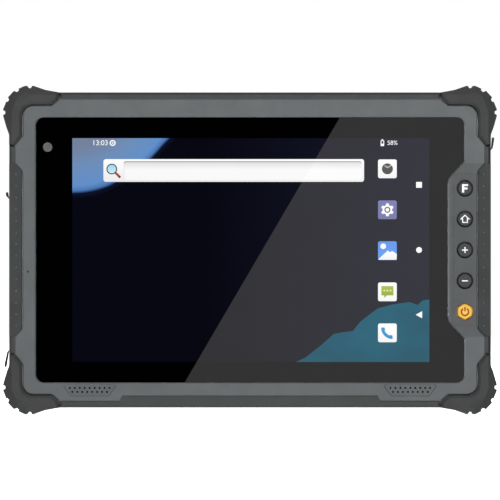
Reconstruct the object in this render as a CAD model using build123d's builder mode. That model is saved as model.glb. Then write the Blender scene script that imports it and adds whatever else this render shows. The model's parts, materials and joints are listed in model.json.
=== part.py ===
from build123d import *
from math import atan, degrees, sqrt
import os

# A rugged tablet computer, standing on its lower corner guards with its screen towards -Y.
# +X is to the right of someone who looks at the screen and +Z is up. The origin is under the
# middle of the tablet, on the plane that the guards stand on. All sizes are in millimetres.

# Case, seen from the front
body_width = 231.3
body_height = 151.4
body_corner_radius = 12.0
guard_stand_out_side = 3.0
guard_stand_out_end = 3.15
guard_seat_depth = 1.4
guard_reach_along_top = 24.0
guard_reach_along_side = 25.1
guard_cover_side = 6.15
guard_cover_end = 5.9
guard_gap = 0.45
guard_slope_width = 4.2
guard_slope_height = 2.6
guard_inner_bevel = 1.3
guard_notch_depth = 1.1
guard_notch_width = 1.3
rim_width_end = 3.25
rim_width_side = 2.75
rim_chamfer = 1.2
bezel_chamfer = 0.45
cover_chamfer = 1.6

# Layers, measured back from the guards' front faces
bezel_front = 0.9
glass_sink = 0.6
glass_thickness = 1.8
glass_seal_thickness = 0.4
frame_front = 2.2
bezel_thickness = 4.6
chassis_step = 2.4
chassis_thickness = 1.0
frame_depth = 8.2
cover_depth = 11.8
cover_back_wall = 2.0
guard_back_flange = 1.8
guard_screw_land = 0.8
case_wall = 5.9
case_inner_radius = 6.0
chassis_ledge = 2.75
chassis_clearance = 0.2

# Screen
side_border = 12.85
end_border = 12.1
glass_corner_radius = 3.8
glass_clearance = 0.15
active_border_side = 16.7
active_border_end = 9.8
module_overhang = 2.8
module_thickness = 2.6
window_clearance = 0.6
glass_ledge = 1.8

# Keys, from the top down
key_inset = 12.45
key_pitch = 14.8
key_radius = 3.6
power_key_apothem = 3.45
key_gap = 0.47
key_proud = 0.55
key_wall = 1.6
key_flange = 1.0
key_flange_thickness = 0.8
key_play = 0.3
key_travel = 0.4
key_plunger_length = 0.8
key_notch_width = 8.0
key_notch_half = 34.3
key_notch_run = 8.4
key_notch_radius = 6.0
key_valley_depth = 0.5
key_valley_inset = 2.5
key_groove_width = 0.7
key_groove_depth = 0.45
key_groove_margin = 4.5
key_board_thickness = 0.8
key_board_margin = 1.2
dome_radius = 2.3
dome_height = 0.5

# Grips
grip_half_length = 41.2
grip_width = 6.05
grip_end_run = 3.8
grip_end_radius = 4.6
grip_front = 1.3
grip_skin = 2.2
grip_depth = 8.4
grip_dot_count = 14
grip_dot_pitch = 5.6
grip_dot_radius = 0.6
grip_dot_height = 0.35
grip_dot_inset = 3.35

# Speakers and microphone
grille_x = 77.0
grille_rise = 9.45
grille_pitch = 2.38
grille_hole_radius = 0.5
grille_row_gap = 1.9
grille_hole_count = 9
grille_recess = 0.5
grille_draft = 40.0
speaker_length = 23.0
speaker_width = 5.6
speaker_mesh_thickness = 0.2
grille_wall = 1.2
bottom_step = 2.5
bottom_step_half = 61.0
microphone_size = (4.0, 3.0)
microphone_drop = 10.4
microphone_inset = 8.95

# Battery and its latches
battery_width = 149.5
battery_height = 61.5
battery_gap = 0.25
battery_sink = 0.2
battery_centre_drop = 22.0
bay_depth = 9.0
bay_wall = 1.4
bay_floor = 1.2
latch_x = 45.0
latch_width = 16.0
latch_height = 12.0
latch_thickness = 3.0
latch_rail = 1.6
latch_rail_thickness = 1.2
latch_gap = 0.3
latch_travel = 4.0
latch_tongue = 2.2
latch_tongue_width = 8.0
latch_tongue_thickness = 1.6
spring_length = 5.4
spring_radius = 1.0
spring_wire = 0.36
spring_turns = 5

# Screws
case_screw_inset = 13.2
middle_screw_x = 35.0
middle_screw_inset = 11.2
case_screw_radius = 1.25
case_screw_head_radius = 2.3
case_screw_head = 1.5
case_screw_sink = 1.8
case_screw_column_radius = 3.6
middle_screw_pad = 9.0
guard_screw_along = 16.0
guard_screw_from_side = 3.4
guard_screw_from_end = 3.3
guard_screw_radius = 1.0
guard_screw_head_radius = 1.8
guard_screw_head = 0.8
guard_screw_bite = 4.0
chassis_screw_inset = 7.35
chassis_screw_z = 41.0
chassis_screw_x = 50.0
board_screw_radius = 1.0
small_screw_radius = 0.8
screw_hole_gap = 0.1

# Circuit boards
board_side_inset = 15.7
board_top_inset = 17.7
board_bottom = -6.0
board_thickness = 1.2
board_rise = 1.1
board_screw_x = 94.0
board_screw_low = -1.0
board_screw_inset = 5.0
board_post_radius = 2.6
port_board_width = 22.0
port_board_thickness = 1.0
port_board_gap = 0.4
port_board_inset = 4.0
port_board_screw_inset = 28.0
port_board_screw_margin = 4.0
shield_height = 1.6
shield_drop = 24.0
shields = [(-12.0, 42.0, 32.0), (34.0, 30.0, 24.0)]
spreader_size = (56.0, 36.0)
spreader_thickness = 0.4
connector_size = (4.0, 14.0)
battery_connector_size = (20.0, 6.0)
battery_connector_x = -50.0

# Cameras on the front and the back
front_camera_inset = 5.6
front_camera_drop = 14.2
front_camera_radius = 2.6
front_camera_body_radius = 3.2
rear_camera_inset = 38.0
rear_camera_drop = 26.0
rear_camera_size = 15.0
rear_camera_barrel_radius = 5.4
rear_window_radius = 6.9
rear_window_thickness = 0.9
flash_distance = 14.0
flash_radius = 2.5
flash_flange_radius = 3.4

# Dock contacts, in the bottom edge
dock_length = 32.0
dock_drop = 2.6
dock_depth = 6.4
dock_thickness = 2.2
dock_sink = 0.3
dock_pin_count = 8
dock_pin_pitch = 3.2
dock_pin_radius = 0.8
dock_pin_sink = 0.1

# Port covers, on the sides of the rear cover
door_thickness = 2.6
door_width = 8.6
lip_margin = 1.8
lip_root = 0.9
door_gap = 0.3
door_front = 12.0
door_back = door_front + door_width
hinge_pin_radius = 0.6
hinge_pin_clearance = 0.05
hinge_end_gap = 0.5
socket_sink = 0.45

# Fastening pattern on the back
strap_spacing_x = 38.1
strap_spacing_z = 30.2
strap_from_top = 28.0
insert_radius = 3.0
insert_bore_radius = 1.65
insert_length = 6.0

# Derived sizes
half_width = body_width / 2
half_height = body_height / 2
guard_width = body_width + 2 * guard_stand_out_side
guard_height = body_height + 2 * guard_stand_out_end
mid_height = guard_height / 2
glass_front = bezel_front + glass_sink
glass_back = glass_front + glass_thickness
ledge_front = glass_back + glass_seal_thickness
bezel_back = bezel_front + bezel_thickness
module_back = glass_back + module_thickness
frame_back = frame_front + frame_depth
cover_back = frame_back + cover_depth
guard_depth = cover_back + guard_back_flange
cover_inner = cover_back - cover_back_wall
chassis_front = bezel_back + chassis_step - chassis_thickness
chassis_back = chassis_front + chassis_thickness
glass_width = body_width - 2 * side_border
glass_height = body_height - 2 * end_border
active_width = glass_width - 2 * active_border_side
active_height = glass_height - 2 * active_border_end
inner_width = body_width - 2 * case_wall
inner_height = body_height - 2 * case_wall
key_x = half_width - key_inset
bay_width = battery_width + 2 * battery_gap
bay_height = battery_height + 2 * battery_gap
bay_floor_back = cover_back - bay_depth
bay_top = -battery_centre_drop + bay_height / 2
latch_bottom = bay_top + bay_wall + latch_gap
strap_z = half_height - strap_from_top
power_key_corner = (power_key_apothem + key_flange) * 2 / sqrt(3)
key_pocket_reach = 2 * key_pitch + power_key_corner + key_play
key_pocket_half = key_radius + key_flange + key_play
insert_z = (strap_z - strap_spacing_z / 2, strap_z + strap_spacing_z / 2)
insert_points = [(side * strap_spacing_x / 2, z) for side in (-1, 1) for z in insert_z]
corners = [(side, end) for side in (-1, 1) for end in (-1, 1)]

# Screws that hold the two halves of the case together
case_screw_x = half_width - case_screw_inset
case_screw_z = half_height - case_screw_inset
middle_screw_z = half_height - middle_screw_inset
middle_screw_points = [(side * middle_screw_x, end * middle_screw_z) for side, end in corners]
case_screw_points = [(side * case_screw_x, end * case_screw_z) for side, end in corners]
case_screw_points += middle_screw_points
guard_screw_x = (half_width - guard_screw_along, half_width - guard_screw_from_side)
guard_screw_z = (half_height - guard_screw_from_end, half_height - guard_screw_along)
guard_screw_pairs = list(zip(guard_screw_x, guard_screw_z))
guard_screw_points = [(side * x, end * z) for x, z in guard_screw_pairs for side, end in corners]
chassis_screw_edge = (half_width - chassis_screw_inset, half_height - chassis_screw_inset)
chassis_screw_points = [(side * chassis_screw_edge[0], end * chassis_screw_z) for side, end in corners]
chassis_screw_points += [(side * chassis_screw_x, end * chassis_screw_edge[1]) for side, end in corners]

# Main board
board_half_width = half_width - board_side_inset
board_top = half_height - board_top_inset
board_front = chassis_back + board_rise
board_back = board_front + board_thickness
board_screw_high = board_top - board_screw_inset
board_screw_rows = (board_screw_low, board_screw_high)
board_screw_points = [(side * board_screw_x, z) for side in (-1, 1) for z in board_screw_rows]
board_screw_points += [(0.0, board_screw_high)]

# Port boards, behind the side walls
port_board_front = door_front + port_board_gap
port_board_back = port_board_front + port_board_thickness
port_mouth = half_width - door_thickness - door_gap - socket_sink

# Each port cover: its side, the heights of its hinge and of its free end, and how far its lip
# reaches past the free end and stands out from the side
cover_free_end = half_height - guard_reach_along_side - 2.4
cover_hinge_end = cover_free_end - 32.2
data_hinge = 8.0 - cover_hinge_end
port_covers = {
    "port_cover_data": (-1, data_hinge, data_hinge + 32.6, 3.2, 1.9),
    "port_cover_power": (-1, -cover_hinge_end, -cover_free_end, 8.2, 2.6),
    "port_cover_card": (1, cover_hinge_end, cover_free_end, 6.0, 1.9),
}

# Each socket: its side, height, size along Z, size along Y, length, and the opening's size in Z and Y
sockets = {
    "usb_c_socket": (-1, data_hinge + 25.0, 9.0, 3.2, 8.0, 8.3, 2.5),
    "usb_a_socket": (-1, data_hinge + 10.5, 13.2, 5.8, 13.0, 12.0, 4.6),
    "power_socket": (-1, -cover_hinge_end - 9.0, 7.6, 6.4, 11.0, 5.6, 5.6),
    "audio_socket": (-1, -cover_hinge_end - 21.0, 6.4, 5.2, 11.0, 3.6, 3.6),
    "card_tray": (1, cover_hinge_end + 17.0, 22.0, 2.2, 16.0, 0.0, 0.0),
}
dock_front = frame_back + dock_drop
dock_back = dock_front + dock_depth
board_connector_points = [(24 - half_width, 9.0), (half_width - 24, 28.0)]

os.makedirs("parts", exist_ok=True)


def level(depth):
    """Plane at a depth behind the guards' front faces. It faces the user: x right, y up from the middle."""
    return Plane((0, depth - guard_depth / 2, mid_height), x_dir=(1, 0, 0), z_dir=(0, -1, 0))


def slab(outline, front, back, mode=Mode.ADD, draft=0.0):
    """Adds or cuts an outline between two depths; with a draft in degrees it widens to the front."""
    with BuildSketch(level(back)) as area:
        add(outline)
    extrude(area.sketch, amount=back - front, taper=-draft, mode=mode)


def pillars(points, radius, front, back, mode=Mode.ADD):
    """Adds or cuts round pillars between two depths."""
    with BuildSketch(level(back)) as area:
        with Locations(*points):
            Circle(radius)
    extrude(area.sketch, amount=back - front, mode=mode)


def block(x, z, width, height, front, back, mode=Mode.ADD):
    """Adds or cuts a block between two depths, given by its middle and size as seen from the front."""
    with BuildSketch(level(back)) as area:
        with Locations((x, z)):
            Rectangle(width, height)
    extrude(area.sketch, amount=back - front, mode=mode)


def finish(builder, name):
    """Labels a finished piece and writes it."""
    builder.part.label = name
    export_step(builder.part, f"parts/{name}.step")


def polygon(points, radii):
    """Closed outline through the points, with a radius at each corner."""
    with BuildSketch() as area:
        with BuildLine():
            FilletPolyline(*points, radius=radii, close=True)
        make_face()
    return area.sketch


def rounded(width, height, radius):
    with BuildSketch() as area:
        RectangleRounded(width, height, radius)
    return area.sketch


def guard_inner_points(side, end, gap):
    """The edge of a guard's front and back flanges, from the top or bottom of the case round to its side."""
    insets = [
        (guard_reach_along_top + gap, 0.0),
        (guard_reach_along_top - 0.7 + gap, 3.4 + gap / 2),
        (guard_reach_along_top - 3.7 + gap / 2, guard_cover_end + gap),
        (guard_cover_side + gap, guard_cover_end + gap),
        (guard_cover_side + gap, guard_reach_along_side - 4.6 + gap / 2),
        (rim_width_side, guard_reach_along_side + gap),
    ]
    return [(side * (half_width - x), end * (half_height - z)) for x, z in insets]


def guard_outline(side, end):
    """A corner guard seen from the front, with plain edges."""
    outside = [
        (half_width, half_height - guard_reach_along_side),
        (half_width, half_height - 20.4),
        (half_width + 1.4, half_height - 16.6),
        (half_width + guard_stand_out_side, half_height - 11.0),
        (half_width + guard_stand_out_side, half_height - 8.3),
        (half_width + 2.0, half_height - 4.5),
        (half_width + 0.6, half_height - 2.3),
        (half_width - 2.2, half_height + 0.7),
        (half_width - 4.4, half_height + 2.0),
        (half_width - 7.4, half_height + guard_stand_out_end),
        (half_width - 11.8, half_height + guard_stand_out_end),
        (half_width - 17.3, half_height + 1.2),
    ]
    outside = [(side * x, end * z) for x, z in outside]
    inner_radii = [0.0, 1.5, 2.0, 5.0, 1.5, 0.0]
    outer_radii = [0.0, 4.0, 12.0, 3.0, 3.0, 3.0, 3.0, 3.0, 3.0, 3.0, 3.0, 10.0]
    return polygon(guard_inner_points(side, end, 0.0) + outside, inner_radii + outer_radii)


def guard_envelope():
    """The whole tablet with edges that slope at the front and back, which the guards' edges follow."""
    right = [
        (half_width + guard_stand_out_side, half_height - 8.3),
        (half_width + 0.6, half_height - 2.3),
        (half_width - 2.2, half_height + 0.7),
        (half_width - 7.4, half_height + guard_stand_out_end),
    ]
    left = [(-x, z) for x, z in reversed(right)]
    below = [(x, -z) for x, z in reversed(right + left)]
    with BuildSketch() as outline:
        with BuildLine():
            Polyline(*right, *left, *below, close=True)
        make_face()
    slope = degrees(atan(guard_slope_width / guard_slope_height))
    with BuildPart() as envelope:
        slab(outline.sketch, guard_slope_height, guard_depth - guard_slope_height)
        with BuildSketch(level(guard_slope_height)) as front:
            add(outline.sketch)
        extrude(front.sketch, amount=guard_slope_height, taper=slope)
        with BuildSketch(level(guard_depth - guard_slope_height)) as back:
            add(outline.sketch)
        extrude(back.sketch, amount=-guard_slope_height, taper=slope)
    return envelope.part


def guard_notches(side, end):
    """Four grooves round the outside of a guard."""
    places = [
        (half_width - 9.8, half_height + guard_stand_out_end, 90),
        (half_width - 3.5, half_height + 1.4, 50),
        (half_width + 1.3, half_height - 3.4, 36),
        (half_width + guard_stand_out_side, half_height - 9.7, 0),
    ]
    with BuildSketch() as area:
        for x, z, angle in places:
            turned = angle if side * end > 0 else -angle
            with Locations(Location((side * x, end * z), turned if side > 0 else 180 + turned)):
                Trapezoid(guard_notch_width + 2.4, 2 * guard_notch_depth, 60, rotation=90)
    return area.sketch


def shell_outline():
    """Outside of the frame and the rear cover, stepped in at the corners where the guards sit."""
    with BuildSketch() as area:
        RectangleRounded(
            body_width - 2 * guard_seat_depth,
            body_height - 2 * guard_seat_depth,
            body_corner_radius - guard_seat_depth,
        )
        Rectangle(body_width - 2 * guard_reach_along_top, body_height)
        Rectangle(body_width, body_height - 2 * guard_reach_along_side)
    return area.sketch


def grip_outline(side, gap):
    """A side grip seen from the front; gap widens it to the seat that it lies in."""
    inner = half_width - grip_width - gap
    top = grip_half_length + gap
    points = [
        (half_width, top),
        (half_width - rim_width_side, top),
        (inner, top - grip_end_run),
        (inner, -top + grip_end_run),
        (half_width - rim_width_side, -top),
        (half_width, -top),
    ]
    radii = [0.0, 0.8, grip_end_radius, grip_end_radius, 0.8, 0.0]
    return polygon([(side * x, z) for x, z in points], radii)


def bezel_outline():
    """The bezel stands inside the rim and leaves room for the guards and the grips."""
    with BuildSketch() as area:
        Rectangle(body_width - 2 * rim_width_side, body_height - 2 * rim_width_end)
        for side, end in corners:
            corner = (side * body_width, end * body_height)
            points = guard_inner_points(side, end, guard_gap)
            beyond = [(side * body_width, points[-1][1]), corner, (points[0][0], end * body_height)]
            radii = [0.0, 1.5, 2.0, 5.0, 1.5, 0.0, 0.0, 0.0, 0.0]
            add(polygon(points + beyond, radii), mode=Mode.SUBTRACT)
        for side in (-1, 1):
            add(grip_outline(side, guard_gap), mode=Mode.SUBTRACT)
        base = -half_height + rim_width_end
        step = polygon(
            [
                (-bottom_step_half - 2, base - 1),
                (-bottom_step_half, base + bottom_step),
                (bottom_step_half, base + bottom_step),
                (bottom_step_half + 2, base - 1),
            ],
            [0.0, 0.8, 0.8, 0.0],
        )
        add(step, mode=Mode.SUBTRACT)
    return area.sketch


def glass_outline(gap):
    """The cover glass, cut back on its right for the key panel; gap widens it to its seat in the bezel."""
    x = glass_width / 2 + gap
    z = glass_height / 2 + gap
    corner = glass_corner_radius + gap
    inner = glass_width / 2 - key_notch_width + gap
    slant = key_notch_half + key_notch_run
    points = [
        (-x, -z),
        (x, -z),
        (x, -slant + gap / 2),
        (inner, -key_notch_half + gap / 2),
        (inner, key_notch_half - gap / 2),
        (x, slant - gap / 2),
        (x, z),
        (-x, z),
    ]
    notch = key_notch_radius
    return polygon(points, [corner, corner, 1.0, notch, notch, 1.0, corner, corner])


def camera_point():
    return (-glass_width / 2 + front_camera_inset, glass_height / 2 - front_camera_drop)


def key_places():
    """The middle of each key and whether it is the six-sided power key."""
    names = ["key_function", "key_home", "key_plus", "key_minus", "key_power"]
    return {name: ((key_x, key_pitch * (2 - n)), name == "key_power") for n, name in enumerate(names)}


def key_shape(place, is_power, grow):
    with BuildSketch() as area:
        with Locations(place):
            if is_power:
                RegularPolygon(power_key_apothem + grow, 6, major_radius=False, rotation=30)
            else:
                Circle(key_radius + grow)
    return area.sketch


def key_pocket():
    """Room behind the key panel for the key flanges."""
    with BuildSketch() as area:
        with Locations((key_x, 0)):
            Rectangle(2 * key_pocket_half, 2 * key_pocket_reach)
    return area.sketch


def grille_points(side):
    """Two rows of holes, the lower one a hole shorter."""
    z = -half_height + grille_rise
    upper = [(side * grille_x + (n - (grille_hole_count - 1) / 2) * grille_pitch, z)
             for n in range(grille_hole_count)]
    lower = [(side * grille_x + (n - (grille_hole_count - 2) / 2) * grille_pitch, z - grille_row_gap)
             for n in range(grille_hole_count - 1)]
    return upper + lower


def grille_recess_outline(side):
    """Shallow four-sided recess round a grille, wider at its top."""
    x = side * grille_x
    z = -half_height + grille_rise
    points = [(x - 12.8, z + 1.4), (x + 12.8, z + 1.4), (x + 9.0, z - 3.7), (x - 9.0, z - 3.7)]
    return polygon(points, [0.6, 0.6, 0.9, 0.9])


def speaker_place(side):
    return (side * grille_x, -half_height + grille_rise - grille_row_gap / 2)


def microphone_place():
    return (-half_width + microphone_inset, -microphone_drop)


def front_bezel():
    pocket_front = bezel_front + key_wall
    grille_back = bezel_front + grille_recess + grille_wall
    with BuildPart() as bezel:
        slab(bezel_outline(), bezel_front, bezel_back)
        slab(glass_outline(glass_clearance), bezel_front - 1, ledge_front, mode=Mode.SUBTRACT)
        chamfer(bezel.faces().sort_by(Axis.Y)[0].edges(), length=bezel_chamfer)
        window = rounded(
            active_width + 2 * (module_overhang + window_clearance),
            active_height + 2 * (module_overhang + window_clearance),
            1.0,
        )
        slab(window, ledge_front - 1, bezel_back + 1, mode=Mode.SUBTRACT)
        for place, is_power in key_places().values():
            slab(key_shape(place, is_power, key_gap), bezel_front - 1, bezel_back, mode=Mode.SUBTRACT)
        slab(key_pocket(), pocket_front, bezel_back + 1, mode=Mode.SUBTRACT)
        for side in (-1, 1):
            grille = grille_recess_outline(side)
            floor = bezel_front + grille_recess
            slab(grille, bezel_front - 0.5, floor, mode=Mode.SUBTRACT, draft=grille_draft)
            pillars(grille_points(side), grille_hole_radius, bezel_front, bezel_back, mode=Mode.SUBTRACT)
            x, z = speaker_place(side)
            block(x, z, speaker_length, speaker_width, grille_back, bezel_back + 1, mode=Mode.SUBTRACT)
        room = front_camera_body_radius + 0.2
        pillars([camera_point()], room, ledge_front - 1, bezel_back + 1, mode=Mode.SUBTRACT)
        pillars([microphone_place()], 0.5, bezel_front - 1, bezel_back, mode=Mode.SUBTRACT)
        pillars(key_board_screw_points(), 0.8, bezel_back - 1.8, bezel_back + 1, mode=Mode.SUBTRACT)
        x, z = microphone_place()
        block(x, z, *microphone_size, bezel_back - 1.4, bezel_back + 1, mode=Mode.SUBTRACT)
        # The key panel falls gently from its right edge to a crease beside the rim at the glass
        crease = glass_width / 2 - key_notch_width + key_valley_inset
        front_y = bezel_front - guard_depth / 2
        with BuildSketch(Plane.XY.offset(mid_height - key_notch_half - 2.5)) as wedge:
            with BuildLine():
                Polyline(
                    (crease, front_y - 1),
                    (crease, front_y + key_valley_depth),
                    (half_width - grip_width, front_y),
                    (half_width - grip_width, front_y - 1),
                    close=True,
                )
            make_face()
        extrude(wedge.sketch, amount=2 * (key_notch_half + 2.5), mode=Mode.SUBTRACT)
        groove_back = bezel_front + key_valley_depth + key_groove_depth
        groove_length = 2 * (key_notch_half - key_groove_margin)
        middle = crease + key_groove_width / 2
        block(middle, 0, key_groove_width, groove_length, bezel_front - 1, groove_back, mode=Mode.SUBTRACT)
    finish(bezel, "front_bezel")


def cover_glass():
    with BuildPart() as glass:
        slab(glass_outline(0.0), glass_front, glass_back)
        chamfer(glass.faces().sort_by(Axis.Y)[0].edges(), length=0.2)
    finish(glass, "cover_glass")


def glass_seal():
    """Thin ring of adhesive foam between the glass and the bezel's ledge."""
    inside = rounded(
        active_width + 2 * (module_overhang + window_clearance) + 1,
        active_height + 2 * (module_overhang + window_clearance) + 1,
        1.5,
    )
    with BuildPart() as seal:
        slab(glass_outline(-0.6), glass_back, ledge_front)
        slab(inside, glass_back - 1, ledge_front + 1, mode=Mode.SUBTRACT)
        pillars([camera_point()], 3.9, glass_back - 1, ledge_front + 1, mode=Mode.SUBTRACT)
    finish(seal, "glass_seal")


def display():
    width = active_width + 2 * module_overhang
    height = active_height + 2 * module_overhang
    with BuildPart() as panel:
        slab(rounded(width, height, 0.6), glass_back, module_back)
    finish(panel, "display_panel")
    with BuildPart() as foam:
        slab(rounded(width - 2, height - 2, 0.6), module_back, chassis_front)
        slab(rounded(width - 12, height - 12, 0.6), module_back - 1, chassis_front + 1, mode=Mode.SUBTRACT)
    finish(foam, "display_foam")


def keys():
    flange_front = bezel_front + key_wall + key_play
    flange_back = flange_front + key_flange_thickness
    for name, (place, is_power) in key_places().items():
        with BuildPart() as key:
            slab(key_shape(place, is_power, 0.0), bezel_front - key_proud, flange_front)
            fillet(key.faces().sort_by(Axis.Y)[0].edges(), radius=0.35)
            slab(key_shape(place, is_power, key_flange), flange_front, flange_back)
            pillars([place], 1.5, flange_back, flange_back + key_plunger_length)
        finish(key, name)
    places = [place for place, _ in key_places().values()]
    with BuildPart() as board:
        width = 2 * key_pocket_half + key_board_margin
        block(key_x, 0, width, 2 * key_pocket_reach + 8, bezel_back, bezel_back + key_board_thickness)
        pillars(key_board_screw_points(), 0.8, bezel_back - 1, bezel_back + 2, mode=Mode.SUBTRACT)
    finish(board, "key_board")
    with BuildPart() as domes:
        dome_sphere = (dome_radius**2 + dome_height**2) / (2 * dome_height)
        for x, z in places:
            centre = bezel_back - dome_height + dome_sphere - guard_depth / 2
            with Locations((x, centre, mid_height + z)):
                Sphere(dome_sphere)
        split(bisect_by=level(bezel_back), keep=Keep.TOP)
    finish(domes, "key_domes")


def key_board_screw_points():
    reach = key_pocket_reach + 2.0
    return [(key_x, -reach), (key_x, reach)]


def screws(name, points, radius, head_radius, seat, head, length):
    """Screws driven in from the back: the head's underside lies at the depth named seat."""
    with BuildPart() as group:
        pillars(points, radius, seat - length, seat)
        pillars(points, head_radius, seat, seat + head)
        pillars(points, head_radius * 0.45, seat + head * 0.4, seat + head + 1, mode=Mode.SUBTRACT)
    finish(group, name)


def audio():
    grille_back = bezel_front + grille_recess + grille_wall
    front = grille_back + speaker_mesh_thickness
    with BuildPart() as meshes:
        for side in (-1, 1):
            block(*speaker_place(side), speaker_length, speaker_width, grille_back, front)
    finish(meshes, "speaker_meshes")
    for side, label in ((-1, "left"), (1, "right")):
        x, z = speaker_place(side)
        with BuildPart() as speaker:
            block(x, z, speaker_length, speaker_width, front, bezel_back)
            block(x, z, speaker_length - 4, speaker_width - 2, front - 1, front + 0.5, mode=Mode.SUBTRACT)
        finish(speaker, f"speaker_{label}")
    with BuildPart() as microphone:
        x, z = microphone_place()
        block(x, z, *microphone_size, bezel_back - 1.4, bezel_back)
    finish(microphone, "microphone")


def front_camera():
    with BuildPart() as camera:
        pillars([camera_point()], front_camera_radius, glass_back, glass_back + 0.8)
        pillars([camera_point()], front_camera_body_radius, glass_back + 0.8, chassis_front)
        pillars([camera_point()], 1.1, glass_back - 1, glass_back + 0.5, mode=Mode.SUBTRACT)
    finish(camera, "front_camera")


def seal_ring(grow):
    """Line of the seal between the frame and the rear cover."""
    width = body_width - 6.6
    height = body_height - 6.6
    with BuildSketch() as ring:
        RectangleRounded(width + 2 * grow, height + 2 * grow, 9 + grow)
        RectangleRounded(width - 2.6 - 2 * grow, height - 2.6 - 2 * grow, 7.7 - grow, mode=Mode.SUBTRACT)
    return ring.sketch


def middle_frame():
    ledge = chassis_back
    with BuildPart() as frame:
        slab(shell_outline(), frame_front, frame_back)
        chamfer(frame.faces().sort_by(Axis.Y)[0].edges(), length=rim_chamfer)
        slab(bezel_outline(), frame_front - 1, bezel_back, mode=Mode.SUBTRACT)
        inside = rounded(inner_width, inner_height, case_inner_radius)
        slab(inside, frame_front - 1, ledge, mode=Mode.SUBTRACT)
        with BuildSketch() as opening:
            Rectangle(inner_width - 2 * chassis_ledge, inner_height - 2 * chassis_ledge)
            chamfer(opening.vertices(), length=14)
            for side, end in corners:
                with Locations((side * middle_screw_x, end * middle_screw_z)):
                    Rectangle(middle_screw_pad, middle_screw_pad, mode=Mode.SUBTRACT)
        slab(opening.sketch, ledge - 1, frame_back + 1, mode=Mode.SUBTRACT)
        for side in (-1, 1):
            slab(grip_outline(side, 0.0), frame_front - 1, grip_front + grip_skin, mode=Mode.SUBTRACT)
            x = side * (half_width - grip_skin / 2 + 1)
            block(x, 0, grip_skin + 2, 2 * grip_half_length, frame_front - 1, grip_front + grip_depth,
                  mode=Mode.SUBTRACT)
        slab(seal_ring(0.0), frame_back - 1.2, frame_back + 1, mode=Mode.SUBTRACT)
        pillars(case_screw_points, case_screw_radius, chassis_back, frame_back + 1, mode=Mode.SUBTRACT)
        thread_end = frame_back - 0.6
        pillars(chassis_screw_points, small_screw_radius, chassis_back - 1, thread_end, mode=Mode.SUBTRACT)
    finish(frame, "middle_frame")
    with BuildPart() as seal:
        slab(seal_ring(0.0), frame_back - 1.2, frame_back)
    finish(seal, "case_seal")


def chassis():
    with BuildPart() as plate:
        width = inner_width - 2 * chassis_clearance
        height = inner_height - 2 * chassis_clearance
        slab(rounded(width, height, case_inner_radius), chassis_front, chassis_back)
        pillars(board_screw_points, board_post_radius, chassis_back, board_front)
        above = chassis_front - 1
        pillars(board_screw_points, board_screw_radius, above, board_front + 1, mode=Mode.SUBTRACT)
        pillars(chassis_screw_points, small_screw_radius, above, chassis_back + 1, mode=Mode.SUBTRACT)
        slab(rounded(60, 30, 4), chassis_front - 1, chassis_back + 1, mode=Mode.SUBTRACT)
    finish(plate, "chassis_plate")


def electronics():
    middle = (board_top + board_bottom) / 2
    with BuildPart() as board:
        block(0, middle, 2 * board_half_width, board_top - board_bottom, board_front, board_back)
        pillars(board_screw_points, board_screw_radius, board_front - 1, board_back + 1, mode=Mode.SUBTRACT)
    finish(board, "main_board")
    shield_z = board_top - shield_drop
    shield_back = board_back + shield_height
    with BuildPart() as cans:
        for x, width, height in shields:
            block(x, shield_z, width, height, board_back, shield_back)
        fillet(cans.edges().filter_by(Axis.Y), radius=1.0)
    finish(cans, "board_shields")
    with BuildPart() as spreader:
        block(shields[0][0], shield_z, *spreader_size, shield_back, shield_back + spreader_thickness)
    finish(spreader, "heat_spreader")
    with BuildPart() as connectors:
        for x, z in board_connector_points:
            block(x, z, *connector_size, board_back, port_board_front)
    finish(connectors, "board_connectors")


def port_board_span(side):
    """Lowest and highest point of the board behind the sockets on one side."""
    heights = [z for cover_side, hinge, free, _, _ in port_covers.values() if cover_side == side
               for z in (hinge, free)]
    return min(heights) + 2, max(heights) - 2


def port_board_screw_points(side):
    low, high = port_board_span(side)
    x = side * (half_width - port_board_screw_inset)
    return [(x, low + port_board_screw_margin), (x, high - port_board_screw_margin)]


def port_boards():
    for side, label in ((-1, "left"), (1, "right")):
        low, high = port_board_span(side)
        x = side * (half_width - case_wall - port_board_inset - port_board_width / 2)
        with BuildPart() as board:
            block(x, (low + high) / 2, port_board_width, high - low, port_board_front, port_board_back)
            points = port_board_screw_points(side)
            pillars(points, board_screw_radius, port_board_front - 1, port_board_back + 1, mode=Mode.SUBTRACT)
        finish(board, f"port_board_{label}")


def inner_screws():
    """Small screws inside the case: they hold the key board, the chassis and the circuit boards."""
    boards = port_board_screw_points(-1) + port_board_screw_points(1)
    key_seat = bezel_back + key_board_thickness
    with BuildPart() as group:
        pillars(key_board_screw_points(), small_screw_radius, bezel_back - 1.8, key_seat)
        pillars(key_board_screw_points(), 1.4, key_seat, key_seat + 0.5)
        pillars(chassis_screw_points, small_screw_radius, chassis_front, frame_back - 0.6)
        pillars(chassis_screw_points, 1.2, chassis_front - 0.6, chassis_front)
        pillars(board_screw_points, board_screw_radius, chassis_front, board_back)
        pillars(board_screw_points, 1.8, board_back, board_back + 1.0)
        pillars(boards, board_screw_radius, port_board_front, port_board_back + 4)
        pillars(boards, 1.8, port_board_front - 0.9, port_board_front)
    finish(group, "inner_screws")


def socket_block(side, z, along_z, along_y, length, gap, mode=Mode.ADD):
    """Body of a socket, or the hole in the wall that it sits in."""
    x = side * (port_mouth - length / 2)
    front = port_board_back
    block(x, z, length, along_z + 2 * gap, front - gap, front + along_y + gap, mode=mode)


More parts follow.
